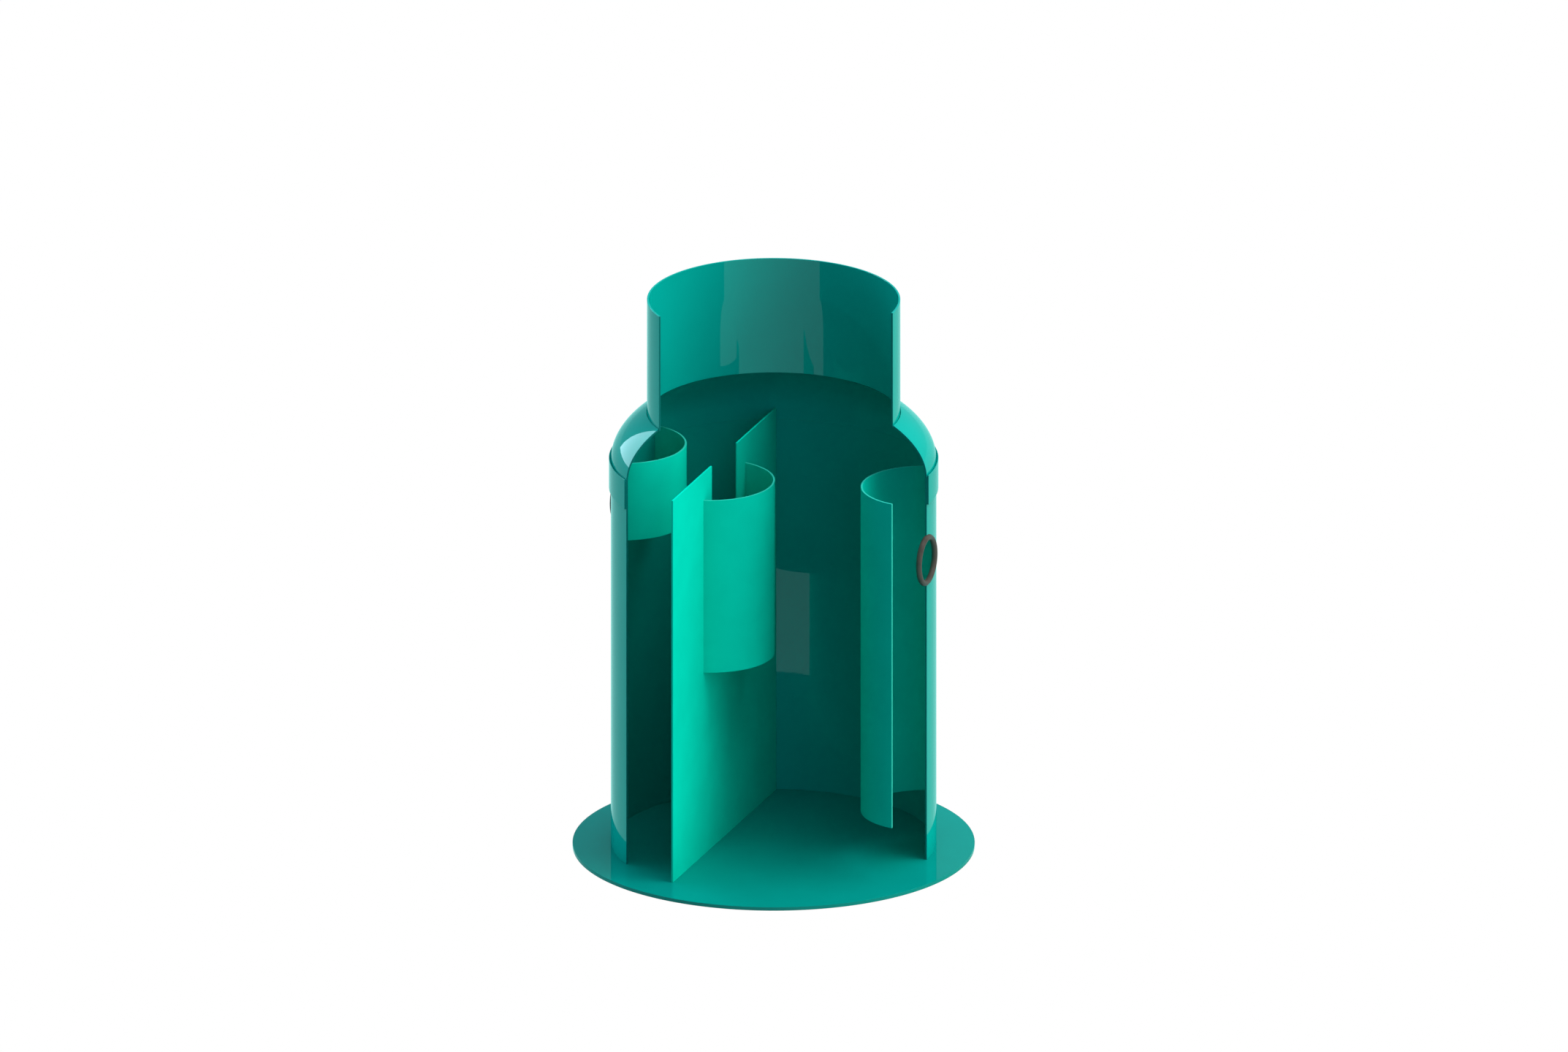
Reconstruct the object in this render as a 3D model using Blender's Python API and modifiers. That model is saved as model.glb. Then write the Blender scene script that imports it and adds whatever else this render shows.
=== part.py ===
"""Upright grease separator of glass-fibre laminate, with a wedge of its shell cut out.

Metres. Z is the tank's axis and the origin is the middle of the base plate's underside. The outlet
points along +X, the inlet along -X, and the wedge is missing on the -Y side. Levels are heights above
the tank floor, which is the top of the base plate.
"""

import math

import bmesh
import bpy
from mathutils import Matrix

# Sizes of the shell
TANK_INNER_RADIUS = 0.600
SHELL_WALL = 0.007
DOME_SPRING_LEVEL = 1.508
DOME_FLATNESS = 0.5
DOME_FLANGE = 0.049
SHOULDER_WIDTH = 0.1345
NECK_TOP_LEVEL = 2.1405
COLLAR_HEIGHT = 0.116
COLLAR_WALL = 0.0072

# Sizes of the base plate
PLATE_RADIUS = 0.750
PLATE_THICKNESS = 0.014
PLATE_EDGE_ROUNDING = 0.002

# The part of the shell that is left, as angles from the outlet, turning left seen from above
SHELL_START_DEG = 0.0
SHELL_END_DEG = 225.0

# Sizes of the baffle and its notch
BAFFLE_WALL = 0.007
BAFFLE_MIDDLE_X = -0.1975
BAFFLE_TOP_LEVEL = 1.505
NOTCH_WIDTH = 0.280
NOTCH_BOTTOM_LEVEL = 1.000

# Sizes of the half-pipes: each pipe's radius and wall are shared, its ends are its own
HALF_PIPE_RADIUS = 0.240
HALF_PIPE_WALL = 0.007
HALF_PIPE_SWEEP_DEG = 260.0
GUARD_AXIS_SETBACK = 0.056
GUARD_BOTTOM_LEVEL = 0.720
GUARD_TOP_LEVEL = 1.399
INLET_PIPE_BOTTOM_LEVEL = 1.201
INLET_PIPE_TOP_LEVEL = 1.504
OUTLET_PIPE_BOTTOM_LEVEL = 0.194
OUTLET_PIPE_TOP_LEVEL = 1.472

# Sizes of the rubber ring seals, whose bead is centred on the wall's outer face
SEAL_RING_RADIUS = 0.0865
SEAL_BEAD_RADIUS = 0.011
OUTLET_LEVEL = 1.182
INLET_LEVEL = 1.290

# Clearance between pieces that touch
FIT = 0.0003

# Fineness of the round shapes
SHELL_FACETS = 72
WALL_SEGMENTS = 8
COLLAR_SEGMENTS = 6
DOME_SEGMENTS = 6
NECK_SEGMENTS = 6
DOME_STEPS = 12
PLATE_FACETS = 96
TRIM_FACETS = 144
PIPE_FACETS = 48
HOLE_FACETS = 48
SEAL_RING_STEPS = 48
SEAL_BEAD_STEPS = 16

# Colours and surface values
GEL_COAT = (0.016, 0.275, 0.235)
INNER_GEL_COAT = (0.010, 0.300, 0.240)
PLATE_GEL_COAT = (0.018, 0.290, 0.250)
SEAL_RUBBER = (0.055, 0.042, 0.038)
GEL_COAT_ROUGHNESS = 0.12
RUBBER_ROUGHNESS = 0.55

# Sizes that follow from those above
TANK_OUTER_RADIUS = TANK_INNER_RADIUS + SHELL_WALL
NECK_OUTER_RADIUS = TANK_OUTER_RADIUS - SHOULDER_WIDTH
NECK_INNER_RADIUS = NECK_OUTER_RADIUS - SHELL_WALL
DOME_HEIGHT = TANK_OUTER_RADIUS * DOME_FLATNESS
SHELL_JOINT_LEVEL = DOME_SPRING_LEVEL - DOME_FLANGE
BAFFLE_OUTLET_FACE = BAFFLE_MIDDLE_X + BAFFLE_WALL / 2
FACET_DEG = (SHELL_END_DEG - SHELL_START_DEG) / SHELL_FACETS
TRIM_RADIUS = TANK_INNER_RADIUS * math.cos(math.radians(FACET_DEG) / 2) - FIT

PARTS = "grease_separator"
CUTTERS = "cutters"


def height(level):
    """Height above the ground of a level above the tank floor."""
    return PLATE_THICKNESS + level


def clear_scene():
    for thing in list(bpy.data.objects):
        bpy.data.objects.remove(thing, do_unlink=True)
    for name in (PARTS, CUTTERS):
        bpy.context.scene.collection.children.link(bpy.data.collections.new(name))


def new_object(name, bm, collection=PARTS):
    bmesh.ops.recalc_face_normals(bm, faces=bm.faces)
    mesh = bpy.data.meshes.new(name)
    bm.to_mesh(mesh)
    bm.free()
    thing = bpy.data.objects.new(name, mesh)
    bpy.data.collections[collection].objects.link(thing)
    if collection == CUTTERS:
        thing.hide_render = True
        thing.display_type = "WIRE"
    return thing


def finish(thing, colour, roughness, smooth_deg=None):
    """Give a piece its own material, and smooth shading where it is round."""
    material = bpy.data.materials.new(thing.name + "_finish")
    material.use_nodes = True
    shader = material.node_tree.nodes["Principled BSDF"]
    shader.inputs["Base Color"].default_value = (*colour, 1.0)
    shader.inputs["Roughness"].default_value = roughness
    shader.inputs["Metallic"].default_value = 0.0
    thing.data.materials.append(material)
    if smooth_deg is not None:
        thing.data.shade_smooth()
        thing.data.set_sharp_from_angle(angle=math.radians(smooth_deg))
    return thing


def cut(thing, cutter, operation="DIFFERENCE"):
    """Add a live Boolean that a change of size goes through."""
    modifier = thing.modifiers.new(cutter.name, "BOOLEAN")
    modifier.operation = operation
    modifier.solver = "EXACT"
    modifier.object = cutter
    return thing


def revolve(profile, start_deg, end_deg, steps, centre_x=0.0):
    """A closed profile of (radius, height) points swept about a vertical axis, with both ends capped."""
    start = math.radians(start_deg)
    bm = bmesh.new()
    verts = [bm.verts.new((centre_x + r * math.cos(start), r * math.sin(start), z)) for r, z in profile]
    face = bm.faces.new(verts)
    bmesh.ops.spin(
        bm,
        geom=[*bm.verts, *bm.edges, face],
        cent=(centre_x, 0.0, 0.0),
        axis=(0.0, 0.0, 1.0),
        angle=math.radians(end_deg - start_deg),
        steps=steps,
    )
    return bm


def upright_cylinder(radius, bottom, top, facets):
    bm = bmesh.new()
    bmesh.ops.create_cone(
        bm, cap_ends=True, segments=facets, radius1=radius, radius2=radius, depth=top - bottom
    )
    bmesh.ops.translate(bm, verts=bm.verts, vec=(0.0, 0.0, (bottom + top) / 2))
    return bm


def box(low, high):
    bm = bmesh.new()
    bmesh.ops.create_cube(bm, size=1.0)
    bmesh.ops.scale(bm, verts=bm.verts, vec=[h - l for l, h in zip(low, high)])
    bmesh.ops.translate(bm, verts=bm.verts, vec=[(l + h) / 2 for l, h in zip(low, high)])
    return bm


def tube_profile(inner, outer, bottom, top):
    return [(inner, bottom), (outer, bottom), (outer, top), (inner, top)]


def ellipse_run(radius, rise, end_radius):
    """Points along a dome's section, from its spring line up to where it reaches end_radius."""
    last = math.acos(end_radius / radius)
    angles = [last * step / DOME_STEPS for step in range(DOME_STEPS + 1)]
    return [
        (radius * math.cos(a), height(DOME_SPRING_LEVEL) + rise * math.sin(a))
        for a in angles
    ]


def shell_segments(name, profile, count):
    """The shell's arc in equal segments, with the clearance between neighbours."""
    span = (SHELL_END_DEG - SHELL_START_DEG) / count
    slack = math.degrees(FIT / 2 / min(r for r, _ in profile))
    segments = []
    for index in range(count):
        start = SHELL_START_DEG + index * span
        bm = revolve(profile, start + slack, start + span - slack, SHELL_FACETS // count)
        piece = new_object(f"{name}_{index + 1}", bm)
        segments.append(finish(piece, GEL_COAT, GEL_COAT_ROUGHNESS, smooth_deg=30))
    return segments


def make_base_plate():
    bm = upright_cylinder(PLATE_RADIUS, 0.0, PLATE_THICKNESS, PLATE_FACETS)
    plate = new_object("base_plate", bm)
    rounding = plate.modifiers.new("edge_rounding", "BEVEL")
    rounding.width = PLATE_EDGE_ROUNDING
    rounding.segments = 2
    rounding.limit_method = "ANGLE"
    rounding.angle_limit = math.radians(60)
    return finish(plate, PLATE_GEL_COAT, GEL_COAT_ROUGHNESS, smooth_deg=30)


def seal_hole_cutter(name, side, level, radius):
    """A cylinder along X through the wall, on the outlet side (+1) or the inlet side (-1)."""
    bm = upright_cylinder(radius, -2 * SEAL_RING_RADIUS, 2 * SEAL_RING_RADIUS, HOLE_FACETS)
    bmesh.ops.rotate(bm, verts=bm.verts, cent=(0, 0, 0), matrix=Matrix.Rotation(math.radians(90), 3, "Y"))
    bmesh.ops.translate(bm, verts=bm.verts, vec=(side * TANK_OUTER_RADIUS, 0.0, height(level)))
    return new_object(name, bm, CUTTERS)


def make_tank_wall():
    top = height(SHELL_JOINT_LEVEL - FIT / 2)
    profile = tube_profile(TANK_INNER_RADIUS, TANK_OUTER_RADIUS, height(FIT), top)
    walls = shell_segments("tank_wall", profile, WALL_SEGMENTS)
    span = (SHELL_END_DEG - SHELL_START_DEG) / WALL_SEGMENTS
    for name, side, level, bearing in (
        ("outlet_hole", 1, OUTLET_LEVEL, 0.0),
        ("inlet_hole", -1, INLET_LEVEL, 180.0),
    ):
        cutter = seal_hole_cutter(name, side, level, SEAL_RING_RADIUS)
        reach = math.degrees(math.asin(SEAL_RING_RADIUS / TANK_INNER_RADIUS))
        for index, wall in enumerate(walls):
            start = SHELL_START_DEG + index * span
            if start < bearing + reach and start + span > bearing - reach:
                cut(wall, cutter)


def make_joint_collar():
    inner = TANK_OUTER_RADIUS + FIT
    bottom = height(SHELL_JOINT_LEVEL - COLLAR_HEIGHT / 2)
    profile = tube_profile(inner, inner + COLLAR_WALL, bottom, bottom + COLLAR_HEIGHT)
    shell_segments("joint_collar", profile, COLLAR_SEGMENTS)


def make_dome():
    opening = NECK_OUTER_RADIUS + FIT
    bottom = height(SHELL_JOINT_LEVEL + FIT / 2)
    outer = ellipse_run(TANK_OUTER_RADIUS, DOME_HEIGHT, opening)
    inner = ellipse_run(TANK_INNER_RADIUS, DOME_HEIGHT - SHELL_WALL, opening)
    profile = [(TANK_OUTER_RADIUS, bottom), *outer, *reversed(inner), (TANK_INNER_RADIUS, bottom)]
    shell_segments("dome", profile, DOME_SEGMENTS)


def make_neck():
    """The neck ends flush with the dome's inner face."""
    bottom = ellipse_run(TANK_INNER_RADIUS, DOME_HEIGHT - SHELL_WALL, NECK_OUTER_RADIUS + FIT)[-1][1]
    profile = tube_profile(NECK_INNER_RADIUS, NECK_OUTER_RADIUS, bottom, height(NECK_TOP_LEVEL))
    shell_segments("neck", profile, NECK_SEGMENTS)


def make_baffle(tank_inside):
    """One sheet with a notch in its top edge, in three plain slabs: under the notch and on each side."""
    half_sheet = BAFFLE_WALL / 2
    faces_x = (BAFFLE_MIDDLE_X - half_sheet, BAFFLE_MIDDLE_X + half_sheet)
    notch_edge = NOTCH_WIDTH / 2
    bottom = height(NOTCH_BOTTOM_LEVEL)
    top = height(BAFFLE_TOP_LEVEL)
    slabs = {
        "baffle_lower": ((-TANK_INNER_RADIUS, TANK_INNER_RADIUS), (height(FIT), bottom)),
        "baffle_upper_front": ((-TANK_INNER_RADIUS, -notch_edge), (bottom + FIT, top)),
        "baffle_upper_back": ((notch_edge, TANK_INNER_RADIUS), (bottom + FIT, top)),
    }
    for name, (ends_y, ends_z) in slabs.items():
        corners = list(zip(faces_x, ends_y, ends_z))
        slab = cut(new_object(name, box(*corners)), tank_inside, "INTERSECT")
        finish(slab, INNER_GEL_COAT, GEL_COAT_ROUGHNESS, smooth_deg=30)


def half_pipe(name, centre_x, bottom_level, top_level, keep):
    """A pipe swept past its trimmed ends, of which only the stretch inside the keep cutter is left."""
    inner = HALF_PIPE_RADIUS - HALF_PIPE_WALL
    profile = tube_profile(inner, HALF_PIPE_RADIUS, height(bottom_level), height(top_level))
    facing = 0.0 if centre_x < 0 else 180.0
    half_sweep = HALF_PIPE_SWEEP_DEG / 2
    bm = revolve(profile, facing - half_sweep, facing + half_sweep, PIPE_FACETS, centre_x)
    pipe = cut(new_object(name, bm), keep, "INTERSECT")
    return finish(pipe, INNER_GEL_COAT, GEL_COAT_ROUGHNESS, smooth_deg=30)


def make_half_pipes(tank_inside):
    half_pipe(
        "inlet_half_pipe", -TANK_INNER_RADIUS, INLET_PIPE_BOTTOM_LEVEL, INLET_PIPE_TOP_LEVEL, tank_inside
    )
    half_pipe(
        "outlet_half_pipe", TANK_INNER_RADIUS, OUTLET_PIPE_BOTTOM_LEVEL, OUTLET_PIPE_TOP_LEVEL, tank_inside
    )
    low = (BAFFLE_OUTLET_FACE + FIT, -TANK_INNER_RADIUS, 0.0)
    high = (TANK_INNER_RADIUS, TANK_INNER_RADIUS, height(NECK_TOP_LEVEL))
    outlet_side = new_object("outlet_side_of_baffle", box(low, high), CUTTERS)
    guard_axis = BAFFLE_OUTLET_FACE - GUARD_AXIS_SETBACK
    half_pipe("baffle_half_pipe", guard_axis, GUARD_BOTTOM_LEVEL, GUARD_TOP_LEVEL, outlet_side)


def make_seal(name, side, level):
    """A round rubber bead, with the tank wall's thickness cut out as a groove where the wall is."""
    bm = bmesh.new()
    middle_x = side * TANK_OUTER_RADIUS
    for step in range(SEAL_BEAD_STEPS):
        turn = 2 * math.pi * step / SEAL_BEAD_STEPS
        along = SEAL_BEAD_RADIUS * math.cos(turn)
        out = SEAL_RING_RADIUS + SEAL_BEAD_RADIUS * math.sin(turn)
        bm.verts.new((middle_x + along, 0.0, height(level) + out))
    bm.verts.ensure_lookup_table()
    ring = [bm.edges.new((bm.verts[i - 1], bm.verts[i])) for i in range(SEAL_BEAD_STEPS)]
    bmesh.ops.spin(
        bm,
        geom=[*bm.verts, *ring],
        cent=(middle_x, 0.0, height(level)),
        axis=(1.0, 0.0, 0.0),
        angle=2 * math.pi,
        steps=SEAL_RING_STEPS,
        use_merge=True,
    )
    seal = cut(new_object(name, bm), groove_cutter(name, side, level))
    return finish(seal, SEAL_RUBBER, RUBBER_ROUGHNESS, smooth_deg=40)


def groove_cutter(name, side, level):
    """The wall with its clearance, outside the hole that the seal fills and up to where the wall is cut."""
    reach = SEAL_RING_RADIUS + 2 * SEAL_BEAD_RADIUS
    span = math.degrees(math.asin(reach / TANK_INNER_RADIUS))
    slack = math.degrees(FIT / TANK_INNER_RADIUS)
    bearing = 0.0 if side > 0 else 180.0
    start = max(bearing - span, SHELL_START_DEG - slack)
    end = min(bearing + span, SHELL_END_DEG + slack)
    profile = tube_profile(
        TRIM_RADIUS,
        TANK_OUTER_RADIUS + FIT,
        height(level) - reach,
        height(level) + reach,
    )
    facets = math.ceil((end - start) / FACET_DEG) * 2
    groove = new_object(name + "_groove", revolve(profile, start, end, facets), CUTTERS)
    return cut(groove, seal_hole_cutter(name + "_core", side, level, SEAL_RING_RADIUS - FIT))


def main():
    clear_scene()
    inside = upright_cylinder(TRIM_RADIUS, 0.0, height(DOME_SPRING_LEVEL), TRIM_FACETS)
    tank_inside = new_object("tank_inside", inside, CUTTERS)
    make_base_plate()
    make_tank_wall()
    make_joint_collar()
    make_dome()
    make_neck()
    make_baffle(tank_inside)
    make_half_pipes(tank_inside)
    make_seal("outlet_seal", 1, OUTLET_LEVEL)
    make_seal("inlet_seal", -1, INLET_LEVEL)


main()
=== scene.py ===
"""Looks of the cut-open grease separator: seamless gel-coated shells, baffle and half-pipes, rubber seals.

Metres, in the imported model's frame: Z up along the tank, the outlet along +X, the cut-out towards -Y.
"""

import math

import bmesh
import bpy
from mathutils import Matrix, Vector


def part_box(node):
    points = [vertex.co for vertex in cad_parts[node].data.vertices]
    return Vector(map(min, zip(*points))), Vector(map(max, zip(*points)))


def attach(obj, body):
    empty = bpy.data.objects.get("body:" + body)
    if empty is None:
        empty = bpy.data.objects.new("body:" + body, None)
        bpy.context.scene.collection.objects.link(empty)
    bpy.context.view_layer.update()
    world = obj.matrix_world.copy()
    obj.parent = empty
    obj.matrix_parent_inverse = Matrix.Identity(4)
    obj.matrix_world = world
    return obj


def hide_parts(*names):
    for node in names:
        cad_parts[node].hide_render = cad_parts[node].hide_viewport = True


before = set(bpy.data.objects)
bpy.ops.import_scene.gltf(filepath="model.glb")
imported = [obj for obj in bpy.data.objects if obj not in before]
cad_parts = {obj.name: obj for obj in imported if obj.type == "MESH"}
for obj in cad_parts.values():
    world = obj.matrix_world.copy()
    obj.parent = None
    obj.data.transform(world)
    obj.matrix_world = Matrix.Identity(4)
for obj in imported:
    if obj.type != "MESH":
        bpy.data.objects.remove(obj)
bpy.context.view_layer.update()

# The photograph's view: a parallel projection
VIEW_AZIMUTH_DEG = 19.85
VIEW_ELEVATION_DEG = 19.0
VIEW_WIDTH = 5.8466
VIEW_RIGHT_OF_AXIS = 0.0386
VIEW_ABOVE_TANK_FLOOR = 1.1776
VIEW_DISTANCE = 12.0
VIEW_FAR_END = 200.0

# The glows that light the object: bearing and rise in degrees, tightness, colour. A program fitted
# these numbers to the photograph's colours, and they were then rounded and corrected.
GLOWS = [
    (8.0, 68.0, 16.0, (6.1, 6.1, 5.6)),
    (7.0, 31.0, 16.0, (3.8, 3.8, 3.4)),
    (349.0, -12.0, 16.0, (3.2, 3.2, 2.85)),
    (45.0, -5.0, 12.0, (1.0, 1.0, 0.3)),
    (172.0, 3.0, 8.0, (3.4, 3.4, 3.55)),
    (297.0, 15.0, 16.0, (0.9, 0.9, 1.2)),
    (90.0, 50.0, 3.0, (1.4, 1.5, 1.9)),
]
LIGHT_ALL_ROUND = (0.07, 0.07, 0.05)

# The room, white to the camera and mint in the gloss, with a brighter stretch of its floor, and the softbox
ROOM_SEEN = (1.0, 1.0, 1.0)
MIRRORED_TINT = (0.45, 1.0, 0.95)
FLOOR_MIRRORED = 0.66
FLOOR_MIRRORED_SLOPE = 0.24
CEILING_MIRRORED = 0.265
HORIZON_MIRRORED = 0.5
HORIZON_BEARING_DEG = 111.0
HORIZON_RISE_DEG = -19.0
HORIZON_TIGHTNESS = 13.7
SOFTBOX_BEARING_DEG = 155.0
SOFTBOX_DISTANCE = 2.3
SOFTBOX_TO_SIDE = 0.72
SOFTBOX_MIDDLE_HEIGHT = 2.7
SOFTBOX_WIDTH = 1.36
SOFTBOX_HEIGHT = 2.2
SOFTBOX_BRIGHTNESS = 4.0
SOFTBOX_COLOUR = (0.55, 0.87, 1.0)
FLOOR_RADIUS = 40.0
FLOOR_BELOW_PLATE = 0.0005

# Sizes that the nodes' boxes don't give
WALL = 0.007
LAMINATE_LAYER = 0.0014
SHELL_END_DEG = 225.0
SEAL_RING_RADIUS = 0.0865
SEAL_BEAD_RADIUS = 0.011
COLLAR_GROOVE_DEPTH = 0.006
COLLAR_LIP = 0.002
NECK_CLEARANCE = 0.002
NOTCH_WIDTH = 0.280
HALF_PIPE_RADIUS = 0.240
HALF_PIPE_INTO_WALL_DEG = 0.2
GUARD_INTO_BAFFLE_DEG = 0.4
HOLE_CUTTER_LENGTH = 0.4
EDGE_SOFTNESS = 0.0007
PLATE_EDGE_ROUNDING = 0.0008
ROUNDED_FROM_DEG = 50.0
SHARP_FROM_DEG = 20.0

# Fineness of the round shapes
SHELL_STEPS = 180
DOME_STEPS = 40
PIPE_STEPS = 72
PLATE_STEPS = 192
HOLE_STEPS = 96
SEAL_RING_STEPS = 128
SEAL_BEAD_STEPS = 28
FLOOR_STEPS = 64
EDGE_STEPS = 2

# How many nodes each shell stands for
WALL_SEGMENTS = 8
TOP_SEGMENTS = 6

# A shell's or half-pipe's second material, for the edges that are cut, or on the half-pipes sawn to size,
# where its darker colour is partly the laminate's own and partly painted shade
CUT = 1

# A face is an end face when its normal leans less than this up or outwards, and level when it leans more up
END_FACE_LEAN = 0.5
LEVEL_FACE_LEAN = 0.9

# Finish
RESIN_IOR = 1.45
NOISE_LOW = 0.3
NOISE_HIGH = 0.7
LAYER_CONTRAST = 0.06

# Sizes read from the frame
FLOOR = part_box("base_plate")[1].z
PLATE_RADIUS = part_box("base_plate")[1].x
TANK_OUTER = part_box("tank_wall_1")[1].x
TANK_INNER = TANK_OUTER - WALL
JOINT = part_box("tank_wall_1")[1].z
DOME_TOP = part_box("dome_1")[1].z
NECK_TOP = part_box("neck_1")[1].z
NECK_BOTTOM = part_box("neck_1")[0].z
NECK_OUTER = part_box("neck_1")[1].x
COLLAR_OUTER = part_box("joint_collar_1")[1].x
DOME_RISE = TANK_OUTER / 2
DOME_SPRING = DOME_TOP - DOME_RISE * math.sqrt(1 - (NECK_OUTER / TANK_OUTER) ** 2)

BODY = "root"


def mesh_piece(name, bm):
    """Make a piece from a bmesh, smooth where it is round, with its place in its mesh."""
    mesh = bpy.data.meshes.new(name)
    bm.to_mesh(mesh)
    bm.free()
    mesh.shade_smooth()
    mesh.set_sharp_from_angle(angle=math.radians(SHARP_FROM_DEG))
    piece = bpy.data.objects.new(name, mesh)
    bpy.context.scene.collection.objects.link(piece)
    return piece


def dress(piece, slot, nodes, *materials):
    for material in materials:
        piece.data.materials.append(material)
    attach(piece, BODY)
    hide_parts(*nodes)
    return piece


def numbered(stem, count):
    return [f"{stem}_{index + 1}" for index in range(count)]


def soften_edges(bm, width):
    limit = math.radians(ROUNDED_FROM_DEG)
    sharp = [edge for edge in bm.edges if len(edge.link_faces) == 2 and edge.calc_face_angle() > limit]
    bmesh.ops.bevel(
        bm, geom=sharp, offset=width, offset_type="OFFSET", segments=EDGE_STEPS, profile=0.5,
        affect="EDGES", clamp_overlap=True, material=-1,
    )


def sweep(profile, start_deg, end_deg, steps, centre_x=0.0):
    """A closed (radius, height) profile swept about an upright axis; its two end faces count as cut."""
    start = math.radians(start_deg)
    bm = bmesh.new()
    ring = [bm.verts.new((centre_x + r * math.cos(start), r * math.sin(start), z)) for r, z in profile]
    section = bm.faces.new(ring)
    bmesh.ops.spin(
        bm, geom=[*bm.verts, *bm.edges, section], cent=(centre_x, 0, 0), axis=(0, 0, 1),
        angle=math.radians(end_deg - start_deg), steps=steps,
    )
    bmesh.ops.recalc_face_normals(bm, faces=bm.faces)
    for face in bm.faces:
        if is_end(face, centre_x):
            face.material_index = CUT
    soften_edges(bm, EDGE_SOFTNESS)
    return bm


def shell(name, profile):
    """A piece of the tank's skin, swept round what the cut-out leaves of it."""
    return mesh_piece(name, sweep(profile, 0, SHELL_END_DEG, SHELL_STEPS))


def is_end(face, centre_x):
    """Whether a face of a sweep is an end face, which looks neither up or down nor in or out."""
    out = face.calc_center_median() - Vector((centre_x, 0, 0))
    out.z = 0.0
    return abs(face.normal.z) < END_FACE_LEAN and abs(face.normal.dot(out.normalized())) < END_FACE_LEAN


def is_level(face):
    return abs(face.normal.z) > LEVEL_FACE_LEAN


def tube_profile(inner, outer, bottom, top):
    return [(inner, bottom), (outer, bottom), (outer, top), (inner, top)]


def ellipse_run(radius, rise, end_radius):
    last = math.acos(end_radius / radius)
    angles = [last * step / DOME_STEPS for step in range(DOME_STEPS + 1)]
    return [(radius * math.cos(a), DOME_SPRING + rise * math.sin(a)) for a in angles]


def hole_cutter(name, middle):
    """A plain cylinder along X through the wall, removed once it has cut."""
    bm = bmesh.new()
    bmesh.ops.create_cone(
        bm, cap_ends=True, segments=HOLE_STEPS, radius1=SEAL_RING_RADIUS, radius2=SEAL_RING_RADIUS,
        depth=HOLE_CUTTER_LENGTH,
    )
    bmesh.ops.rotate(bm, verts=bm.verts, cent=(0, 0, 0), matrix=Matrix.Rotation(math.radians(90), 3, "Y"))
    bmesh.ops.translate(bm, verts=bm.verts, vec=middle)
    return mesh_piece(name, bm)


def carve(piece, cutter):
    """Cut a piece with a cutter at once, and remove the cutter."""
    modifier = piece.modifiers.new("carve", "BOOLEAN")
    modifier.operation = "DIFFERENCE"
    modifier.solver = "EXACT"
    modifier.object = cutter
    evaluated = piece.evaluated_get(bpy.context.evaluated_depsgraph_get())
    carved = bpy.data.meshes.new_from_object(evaluated)
    piece.modifiers.clear()
    piece.data = carved
    carved.shade_smooth()
    carved.set_sharp_from_angle(angle=math.radians(SHARP_FROM_DEG))
    bpy.data.objects.remove(cutter, do_unlink=True)
    return piece


def seal_middle(node):
    low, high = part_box(node)
    return Vector((math.copysign(TANK_OUTER, low.x), 0.0, (low.z + high.z) / 2))


def base_plate(gel):
    bm = bmesh.new()
    bmesh.ops.create_cone(
        bm, cap_ends=True, segments=PLATE_STEPS, radius1=PLATE_RADIUS, radius2=PLATE_RADIUS, depth=FLOOR
    )
    bmesh.ops.translate(bm, verts=bm.verts, vec=(0, 0, FLOOR / 2))
    soften_edges(bm, PLATE_EDGE_ROUNDING)
    plate = mesh_piece("anchor_plate", bm)
    return dress(plate, "plate_gelcoat", ["base_plate"], gel)


def tank_wall(gel, laminate):
    wall = shell("tank_wall", tube_profile(TANK_INNER, TANK_OUTER, FLOOR, JOINT))
    for node in ("outlet_seal", "inlet_seal"):
        carve(wall, hole_cutter(node + "_hole", seal_middle(node)))
    return dress(wall, "shell_gelcoat", numbered("tank_wall", WALL_SEGMENTS), gel, laminate)


def joint_collar(gel, laminate):
    low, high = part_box("joint_collar_1")
    profile = [
        (TANK_OUTER, low.z), (COLLAR_OUTER, low.z), (COLLAR_OUTER, high.z),
        (COLLAR_OUTER - COLLAR_LIP, high.z), (TANK_OUTER, high.z - COLLAR_GROOVE_DEPTH),
    ]
    collar = shell("joint_collar", profile)
    return dress(collar, "shell_gelcoat", numbered("joint_collar", TOP_SEGMENTS), gel, laminate)


def dome(gel, laminate):
    hole = NECK_OUTER + NECK_CLEARANCE
    outer = ellipse_run(TANK_OUTER, DOME_RISE, hole)
    inner = ellipse_run(TANK_INNER, DOME_RISE - WALL, hole)
    profile = [(TANK_OUTER, JOINT), *outer, *reversed(inner), (TANK_INNER, JOINT)]
    return dress(shell("dome", profile), "shell_gelcoat", numbered("dome", TOP_SEGMENTS), gel, laminate)


def neck(gel, laminate):
    profile = tube_profile(NECK_OUTER - WALL, NECK_OUTER, NECK_BOTTOM, NECK_TOP)
    piece = shell("access_neck", profile)
    return dress(piece, "shell_gelcoat", numbered("neck", TOP_SEGMENTS), gel, laminate)


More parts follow.
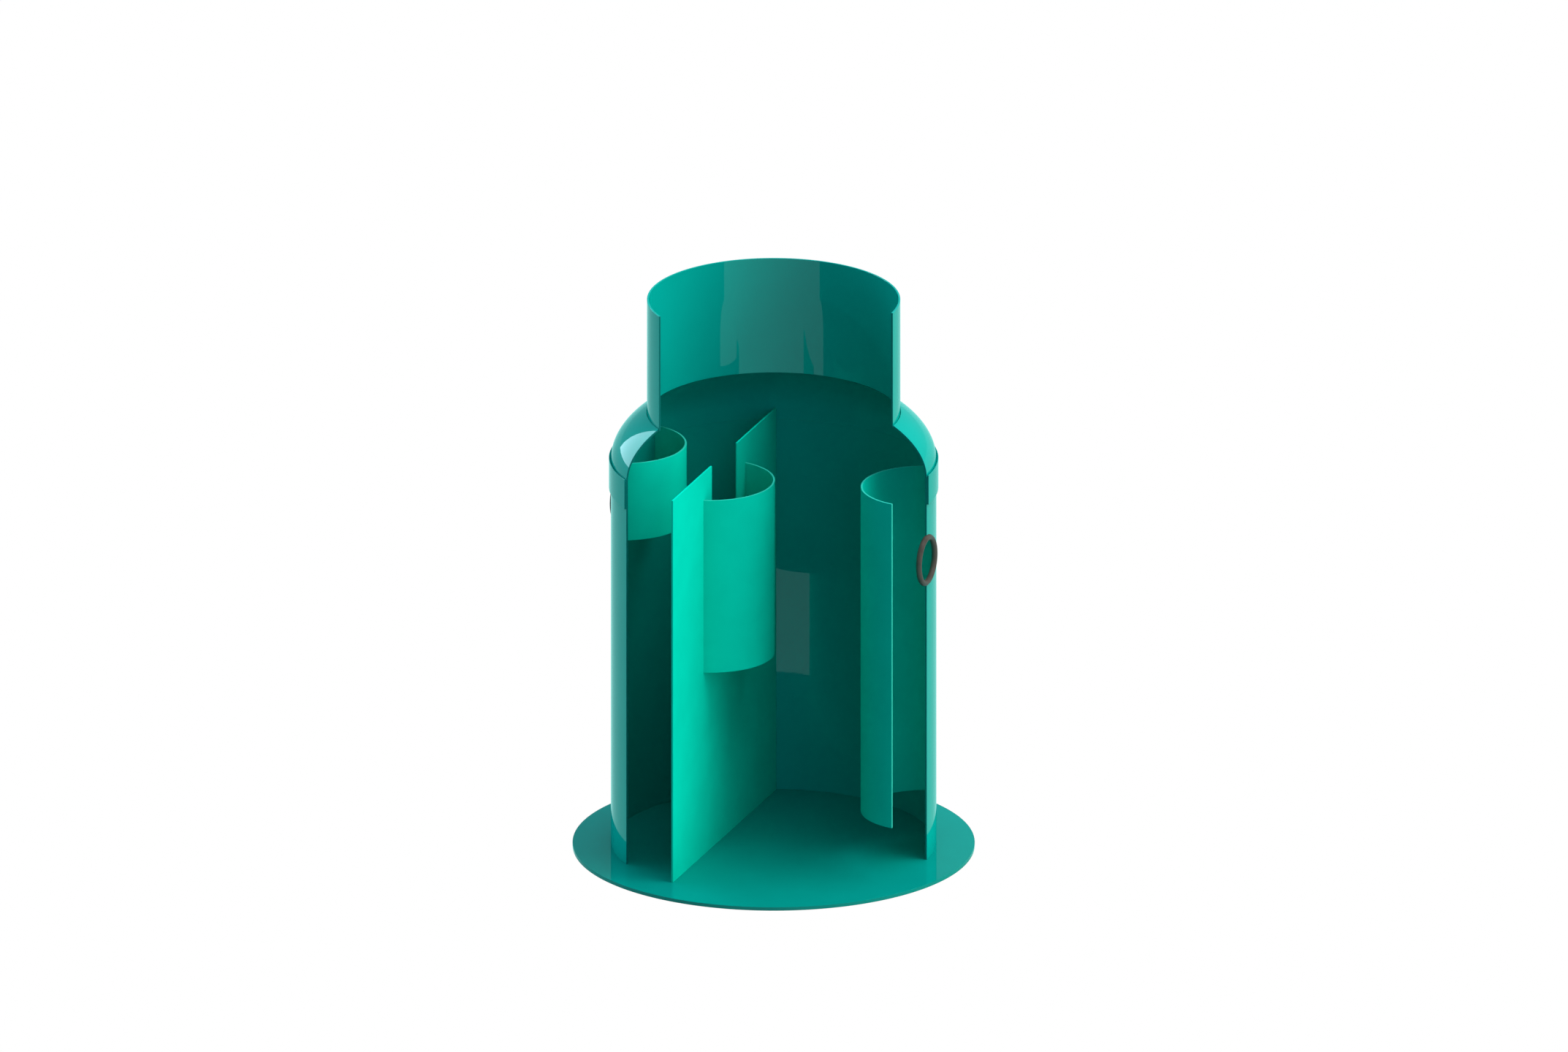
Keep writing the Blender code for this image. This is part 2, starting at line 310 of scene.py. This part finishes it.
def baffle(coat):
    """One upright sheet with a notch in its top edge, extruded from its outline."""
    face_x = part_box("baffle_lower")[0].x
    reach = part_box("baffle_lower")[1].y
    notch_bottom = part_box("baffle_lower")[1].z
    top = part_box("baffle_upper_front")[1].z
    notch = NOTCH_WIDTH / 2
    outline = [
        (-reach, FLOOR), (reach, FLOOR), (reach, top), (notch, top),
        (notch, notch_bottom), (-notch, notch_bottom), (-notch, top), (-reach, top),
    ]
    bm = bmesh.new()
    sheet = bm.faces.new([bm.verts.new((face_x, y, z)) for y, z in outline])
    grown = bmesh.ops.extrude_face_region(bm, geom=[sheet])["geom"]
    bmesh.ops.translate(bm, verts=[v for v in grown if isinstance(v, bmesh.types.BMVert)], vec=(WALL, 0, 0))
    bmesh.ops.recalc_face_normals(bm, faces=bm.faces)
    soften_edges(bm, EDGE_SOFTNESS)
    bmesh.ops.triangulate(bm, faces=[f for f in bm.faces if len(f.verts) > 4])
    piece = mesh_piece("baffle", bm)
    nodes = ["baffle_lower", "baffle_upper_front", "baffle_upper_back"]
    return dress(piece, "inner_gelcoat", nodes, coat)


def half_pipe(node, name, centre_x, half_turn_deg, coat, trimmed_and_shaded):
    """The stretch of a pipe that faces away from its end wall, as high as its node, with sawn edges in a
    darker colour that is partly painted shade on their top and end faces.
    """
    low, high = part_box(node)
    facing = 0.0 if centre_x < 0 else 180.0
    profile = tube_profile(HALF_PIPE_RADIUS - WALL, HALF_PIPE_RADIUS, low.z, high.z)
    bm = sweep(profile, facing - half_turn_deg, facing + half_turn_deg, PIPE_STEPS, centre_x)
    # Level faces take the darker edge material too: the laminate's colour, and painted shade on the top
    # faces
    for face in bm.faces:
        if is_level(face):
            face.material_index = CUT
    return dress(mesh_piece(name, bm), "inner_gelcoat", [node], coat, trimmed_and_shaded)


def half_pipes(inlet_coat_painted_light, guard_coat, outlet_coat_painted_shade, trimmed_and_shaded):
    """Inlet and outlet half-pipes end on the tank's wall, the guard ends on the baffle."""
    wall_turn = math.degrees(math.acos(HALF_PIPE_RADIUS / 2 / TANK_INNER)) + HALF_PIPE_INTO_WALL_DEG
    # The inlet half-pipe's coat is a lighter copy of the flow coat, painted light
    half_pipe("inlet_half_pipe", "inlet_deflector", -TANK_INNER, wall_turn, inlet_coat_painted_light, trimmed_and_shaded)
    # The outlet half-pipe's coat is a darker copy of the flow coat, painted shade
    half_pipe("outlet_half_pipe", "outlet_deflector", TANK_INNER, wall_turn, outlet_coat_painted_shade, trimmed_and_shaded)
    low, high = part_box("baffle_half_pipe")
    guard_centre = high.x - HALF_PIPE_RADIUS
    guard_turn = math.degrees(math.acos((low.x - guard_centre) / HALF_PIPE_RADIUS)) + GUARD_INTO_BAFFLE_DEG
    half_pipe("baffle_half_pipe", "baffle_guard", guard_centre, guard_turn, guard_coat, trimmed_and_shaded)


def ring_seal(node, name, rubber):
    """A round ring whose middle circle is the hole's edge, so that the wall runs into it."""
    middle = seal_middle(node)
    bm = bmesh.new()
    bmesh.ops.create_circle(bm, segments=SEAL_BEAD_STEPS, radius=SEAL_BEAD_RADIUS)
    bmesh.ops.rotate(bm, verts=bm.verts, cent=(0, 0, 0), matrix=Matrix.Rotation(math.radians(90), 3, "X"))
    bmesh.ops.translate(bm, verts=bm.verts, vec=middle + Vector((0, 0, SEAL_RING_RADIUS)))
    bmesh.ops.spin(
        bm, geom=[*bm.verts, *bm.edges], cent=middle, axis=(1, 0, 0), angle=2 * math.pi,
        steps=SEAL_RING_STEPS, use_merge=True,
    )
    bmesh.ops.recalc_face_normals(bm, faces=bm.faces)
    return dress(mesh_piece(name, bm), "seal_rubber", [node], rubber)


def new_material(name, roughness, gloss=0.5):
    material = bpy.data.materials.new(name)
    material.use_nodes = True
    shader = material.node_tree.nodes["Principled BSDF"]
    shader.inputs["Roughness"].default_value = roughness
    shader.inputs["IOR"].default_value = RESIN_IOR
    shader.inputs["Specular IOR Level"].default_value = gloss
    return material, material.node_tree, shader


def in_place(tree):
    return tree.nodes.new("ShaderNodeTexCoord").outputs["Object"]


def noise(tree, scale, detail=2.0):
    """Soft random patches, where a scale of 1 has them about a metre across."""
    node = tree.nodes.new("ShaderNodeTexNoise")
    node.inputs["Scale"].default_value = scale
    node.inputs["Detail"].default_value = detail
    tree.links.new(in_place(tree), node.inputs["Vector"])
    return node.outputs["Fac"]


def between(tree, amount, low, high):
    """Spread the middle of a noise from low to high."""
    node = tree.nodes.new("ShaderNodeMapRange")
    node.inputs["From Min"].default_value = NOISE_LOW
    node.inputs["From Max"].default_value = NOISE_HIGH
    node.inputs["To Min"].default_value = low
    node.inputs["To Max"].default_value = high
    tree.links.new(amount, node.inputs["Value"])
    return node.outputs["Result"]


def paint(tree, shader, colour, shade):
    """Colour a shader, lighter and darker by shade."""
    tree.links.new(vector_step(tree, "SCALE", colour, shade), shader.inputs["Base Color"])


def roughen(tree, shader, height, strength, depth):
    bump = tree.nodes.new("ShaderNodeBump")
    bump.inputs["Strength"].default_value = strength
    bump.inputs["Distance"].default_value = depth
    tree.links.new(height, bump.inputs["Height"])
    tree.links.new(bump.outputs["Normal"], shader.inputs["Normal"])


def gel_coat(name, colour, gloss=0.5):
    """Moulded gel-coat: mirror-bright, with faint clouds in its pigment and a very slight orange peel."""
    material, tree, shader = new_material(name, roughness=0.02, gloss=gloss)
    clouds = noise(tree, scale=5.0, detail=4.0)
    wiped = noise(tree, scale=2.5, detail=3.0)
    orange_peel = noise(tree, scale=90.0)
    paint(tree, shader, colour, between(tree, clouds, low=0.97, high=1.03))
    tree.links.new(between(tree, wiped, low=0.012, high=0.028), shader.inputs["Roughness"])
    roughen(tree, shader, orange_peel, strength=0.03, depth=0.0005)
    return material


def flow_coat(name, colour):
    """Brushed flow-coat of the inner fittings: matt, with brush clouds and the glass mat just felt."""
    material, tree, shader = new_material(name, roughness=0.5, gloss=0.0)
    clouds = noise(tree, scale=9.0, detail=5.0)
    brushed = noise(tree, scale=30.0, detail=3.0)
    glass_mat = noise(tree, scale=240.0, detail=3.0)
    paint(tree, shader, colour, between(tree, clouds, low=0.965, high=1.035))
    tree.links.new(between(tree, brushed, low=0.42, high=0.58), shader.inputs["Roughness"])
    roughen(tree, shader, glass_mat, strength=0.06, depth=0.0004)
    return material


def sawn_laminate(name, colour):
    """The cut edge: resin and glass mat in thin layers through the wall, matt from the saw."""
    material, tree, shader = new_material(name, roughness=0.5, gloss=0.06)
    flat = vector_step(tree, "MULTIPLY", in_place(tree), Vector((1, 1, 0)))
    out = vector_step(tree, "LENGTH", flat)
    layer = number_step(tree, "SINE", number_step(tree, "MULTIPLY", out, 2 * math.pi / LAMINATE_LAYER))
    grain = noise(tree, scale=700.0, detail=3.0)
    layered = number_step(tree, "MULTIPLY_ADD", layer, LAYER_CONTRAST, grain)
    paint(tree, shader, colour, between(tree, layered, low=0.82, high=1.18))
    tree.links.new(between(tree, grain, low=0.4, high=0.65), shader.inputs["Roughness"])
    roughen(tree, shader, layered, strength=0.3, depth=0.0002)
    return material


def rubber(name, colour):
    """Moulded seal rubber, satin, with a dusty bloom in patches."""
    material, tree, shader = new_material(name, roughness=0.36, gloss=0.6)
    bloom = noise(tree, scale=40.0, detail=4.0)
    pores = noise(tree, scale=900.0)
    paint(tree, shader, colour, between(tree, bloom, low=0.82, high=1.2))
    tree.links.new(between(tree, bloom, low=0.3, high=0.44), shader.inputs["Roughness"])
    roughen(tree, shader, pores, strength=0.25, depth=0.0002)
    return material


def by_ray(tree, seen, mirrored, falling):
    """What the camera sees, what gloss mirrors in its first image only, and what lights the object."""
    path = tree.nodes.new("ShaderNodeLightPath")
    first_image = number_step(tree, "LESS_THAN", path.outputs["Glossy Depth"], 1.5)
    mirrored = vector_step(tree, "SCALE", mirrored, first_image)
    lit = mixed(tree, path.outputs["Is Glossy Ray"], falling, mirrored)
    return mixed(tree, path.outputs["Is Camera Ray"], lit, seen)


def mixed(tree, amount, first, second):
    """The first vector where amount is 0 and the second where it is 1."""
    node = tree.nodes.new("ShaderNodeMix")
    node.data_type = "VECTOR"
    feed(tree, amount, identified(node.inputs, "Factor_Float"))
    feed(tree, first, identified(node.inputs, "A_Vector"))
    feed(tree, second, identified(node.inputs, "B_Vector"))
    return identified(node.outputs, "Result_Vector")


def identified(sockets, identifier):
    """A Mix node has several sockets of one name, which only their identifiers tell apart."""
    return next(socket for socket in sockets if socket.identifier == identifier)


def feed(tree, value, socket):
    """Give a socket a link or a constant."""
    if isinstance(value, bpy.types.NodeSocket):
        tree.links.new(value, socket)
    else:
        socket.default_value = value


def vector_step(tree, operation, first, second=(0, 0, 0)):
    node = tree.nodes.new("ShaderNodeVectorMath")
    node.operation = operation
    feed(tree, first, node.inputs[0])
    feed(tree, second, node.inputs["Scale" if operation == "SCALE" else 1])
    return node.outputs["Value" if operation in ("DOT_PRODUCT", "LENGTH") else "Vector"]


def number_step(tree, operation, *values):
    node = tree.nodes.new("ShaderNodeMath")
    node.operation = operation
    for value, socket in zip(values, node.inputs):
        feed(tree, value, socket)
    return node.outputs["Value"]


def towards(bearing_deg, rise_deg):
    bearing = math.radians(bearing_deg)
    rise = math.radians(rise_deg)
    return Vector((math.cos(bearing) * math.cos(rise), math.sin(bearing) * math.cos(rise), math.sin(rise)))


def glows(tree, direction, sources):
    """The sum of soft round glows, each a bearing, a rise, a tightness and a colour."""
    total = None
    for bearing_deg, rise_deg, tightness, colour in sources:
        strength = fading(tree, direction, bearing_deg, rise_deg, tightness)
        glow = vector_step(tree, "SCALE", colour, strength)
        total = glow if total is None else vector_step(tree, "ADD", total, glow)
    return total


def fading(tree, direction, bearing_deg, rise_deg, tightness):
    """One in the middle of a glow, and less all round it."""
    near = vector_step(tree, "DOT_PRODUCT", direction, towards(bearing_deg, rise_deg))
    return number_step(tree, "EXPONENT", number_step(tree, "MULTIPLY_ADD", near, tightness, -tightness))


def white_floor():
    """A pale floor that the camera sees; the studio's glows reach the object through it."""
    bm = bmesh.new()
    bmesh.ops.create_circle(bm, cap_ends=True, segments=FLOOR_STEPS, radius=FLOOR_RADIUS)
    bmesh.ops.translate(bm, verts=bm.verts, vec=(0, 0, -FLOOR_BELOW_PLATE))
    floor = mesh_piece("floor", bm)
    for ray in ("diffuse", "glossy", "transmission", "shadow"):
        setattr(floor, "visible_" + ray, False)
    material = bpy.data.materials.new("white_floor")
    material.use_nodes = True
    tree = material.node_tree
    tree.nodes.clear()
    glow = tree.nodes.new("ShaderNodeEmission")
    out = tree.nodes.new("ShaderNodeOutputMaterial")
    tree.links.new(glow.outputs["Emission"], out.inputs["Surface"])
    floor.data.materials.append(material)


def surroundings():
    """A room, white to the camera: soft glows light the object; gloss mirrors a mint floor and ceiling."""
    world = bpy.data.worlds.new("studio")
    bpy.context.scene.world = world
    world.use_nodes = True
    tree = world.node_tree
    direction = tree.nodes.new("ShaderNodeTexCoord").outputs["Generated"]
    falling = vector_step(tree, "ADD", glows(tree, direction, GLOWS), LIGHT_ALL_ROUND)
    rise = vector_step(tree, "DOT_PRODUCT", direction, Vector((0, 0, 1)))
    below = number_step(tree, "LESS_THAN", rise, 0.0)
    ahead = vector_step(tree, "DOT_PRODUCT", direction, towards(VIEW_AZIMUTH_DEG - 90.0, 0.0))
    over_ceiling = FLOOR_MIRRORED - CEILING_MIRRORED
    floor = number_step(tree, "MULTIPLY_ADD", ahead, FLOOR_MIRRORED_SLOPE, over_ceiling)
    room = number_step(tree, "MULTIPLY_ADD", floor, below, CEILING_MIRRORED)
    horizon = fading(tree, direction, HORIZON_BEARING_DEG, HORIZON_RISE_DEG, HORIZON_TIGHTNESS)
    mirrored = number_step(tree, "MULTIPLY_ADD", horizon, HORIZON_MIRRORED, room)
    shade = vector_step(tree, "SCALE", MIRRORED_TINT, mirrored)
    tree.links.new(by_ray(tree, ROOM_SEEN, shade, falling), tree.nodes["Background"].inputs["Color"])


def softbox():
    """The upright panel behind the tank's left shoulder, which only the gloss shows."""
    light = bpy.data.lights.new("softbox", "AREA")
    light.shape = "RECTANGLE"
    light.size = SOFTBOX_WIDTH
    light.size_y = SOFTBOX_HEIGHT
    light.energy = math.pi * SOFTBOX_WIDTH * SOFTBOX_HEIGHT * SOFTBOX_BRIGHTNESS
    light.color = SOFTBOX_COLOUR
    lamp = bpy.data.objects.new("softbox", light)
    out = towards(SOFTBOX_BEARING_DEG, 0.0)
    side = Vector((-out.y, out.x, 0.0))
    lamp.location = out * SOFTBOX_DISTANCE + side * SOFTBOX_TO_SIDE + Vector((0, 0, SOFTBOX_MIDDLE_HEIGHT))
    lamp.rotation_euler = out.to_track_quat("Z", "Y").to_euler()
    lamp.visible_camera = False
    lamp.visible_diffuse = False
    bpy.context.scene.collection.objects.link(lamp)


def camera():
    azimuth = math.radians(VIEW_AZIMUTH_DEG)
    elevation = math.radians(VIEW_ELEVATION_DEG)
    right = Vector((math.cos(azimuth), math.sin(azimuth), 0.0))
    back = Vector((
        math.sin(azimuth) * math.cos(elevation),
        -math.cos(azimuth) * math.cos(elevation),
        math.sin(elevation),
    ))
    up = back.cross(right)
    aim = Vector((0, 0, FLOOR)) + right * VIEW_RIGHT_OF_AXIS + up * VIEW_ABOVE_TANK_FLOOR
    data = bpy.data.cameras.new("camera")
    data.type = "ORTHO"
    data.ortho_scale = VIEW_WIDTH
    data.clip_end = VIEW_FAR_END
    eye = bpy.data.objects.new("camera", data)
    eye.location = aim + back * VIEW_DISTANCE
    eye.rotation_euler = back.to_track_quat("Z", "Y").to_euler()
    bpy.context.scene.collection.objects.link(eye)
    bpy.context.scene.camera = eye


def main():
    shell_gel = gel_coat("shell_gel_coat", (0.0005, 0.34, 0.3))
    plate_gel = gel_coat("plate_gel_coat", (0.0005, 0.24, 0.21), gloss=0.25)
    inner_coat = flow_coat("inner_flow_coat", (0.0005, 0.59, 0.45))
    # A lighter copy of the flow coat: painted light on the inlet half-pipe
    inlet_coat_painted_light = flow_coat("inlet_flow_coat_painted_light", (0.0005, 0.68, 0.51))
    # A darker copy of the flow coat: painted shade on the outlet half-pipe
    outlet_coat_painted_shade = flow_coat("outlet_flow_coat_painted_shade", (0.0005, 0.5, 0.415))
    # The half-pipes' edge laminate, darker and greyer than their coats: partly its own colour, partly
    # painted shade where light from above falls on the top and end faces
    trimmed_and_shaded = sawn_laminate("trimmed_edge_and_painted_shade", (0.025, 0.5, 0.41))
    laminate = sawn_laminate("cut_laminate", (0.001, 0.155, 0.148))
    seal_rubber = rubber("seal_rubber", (0.06, 0.044, 0.037))
    camera()
    surroundings()
    white_floor()
    softbox()
    base_plate(plate_gel)
    tank_wall(shell_gel, laminate)
    joint_collar(shell_gel, laminate)
    dome(shell_gel, laminate)
    neck(shell_gel, laminate)
    baffle(inner_coat)
    half_pipes(inlet_coat_painted_light, inner_coat, outlet_coat_painted_shade, trimmed_and_shaded)
    ring_seal("outlet_seal", "outlet_ring_seal", seal_rubber)
    ring_seal("inlet_seal", "inlet_ring_seal", seal_rubber)
    bpy.context.scene.view_settings.view_transform = "Standard"


main()
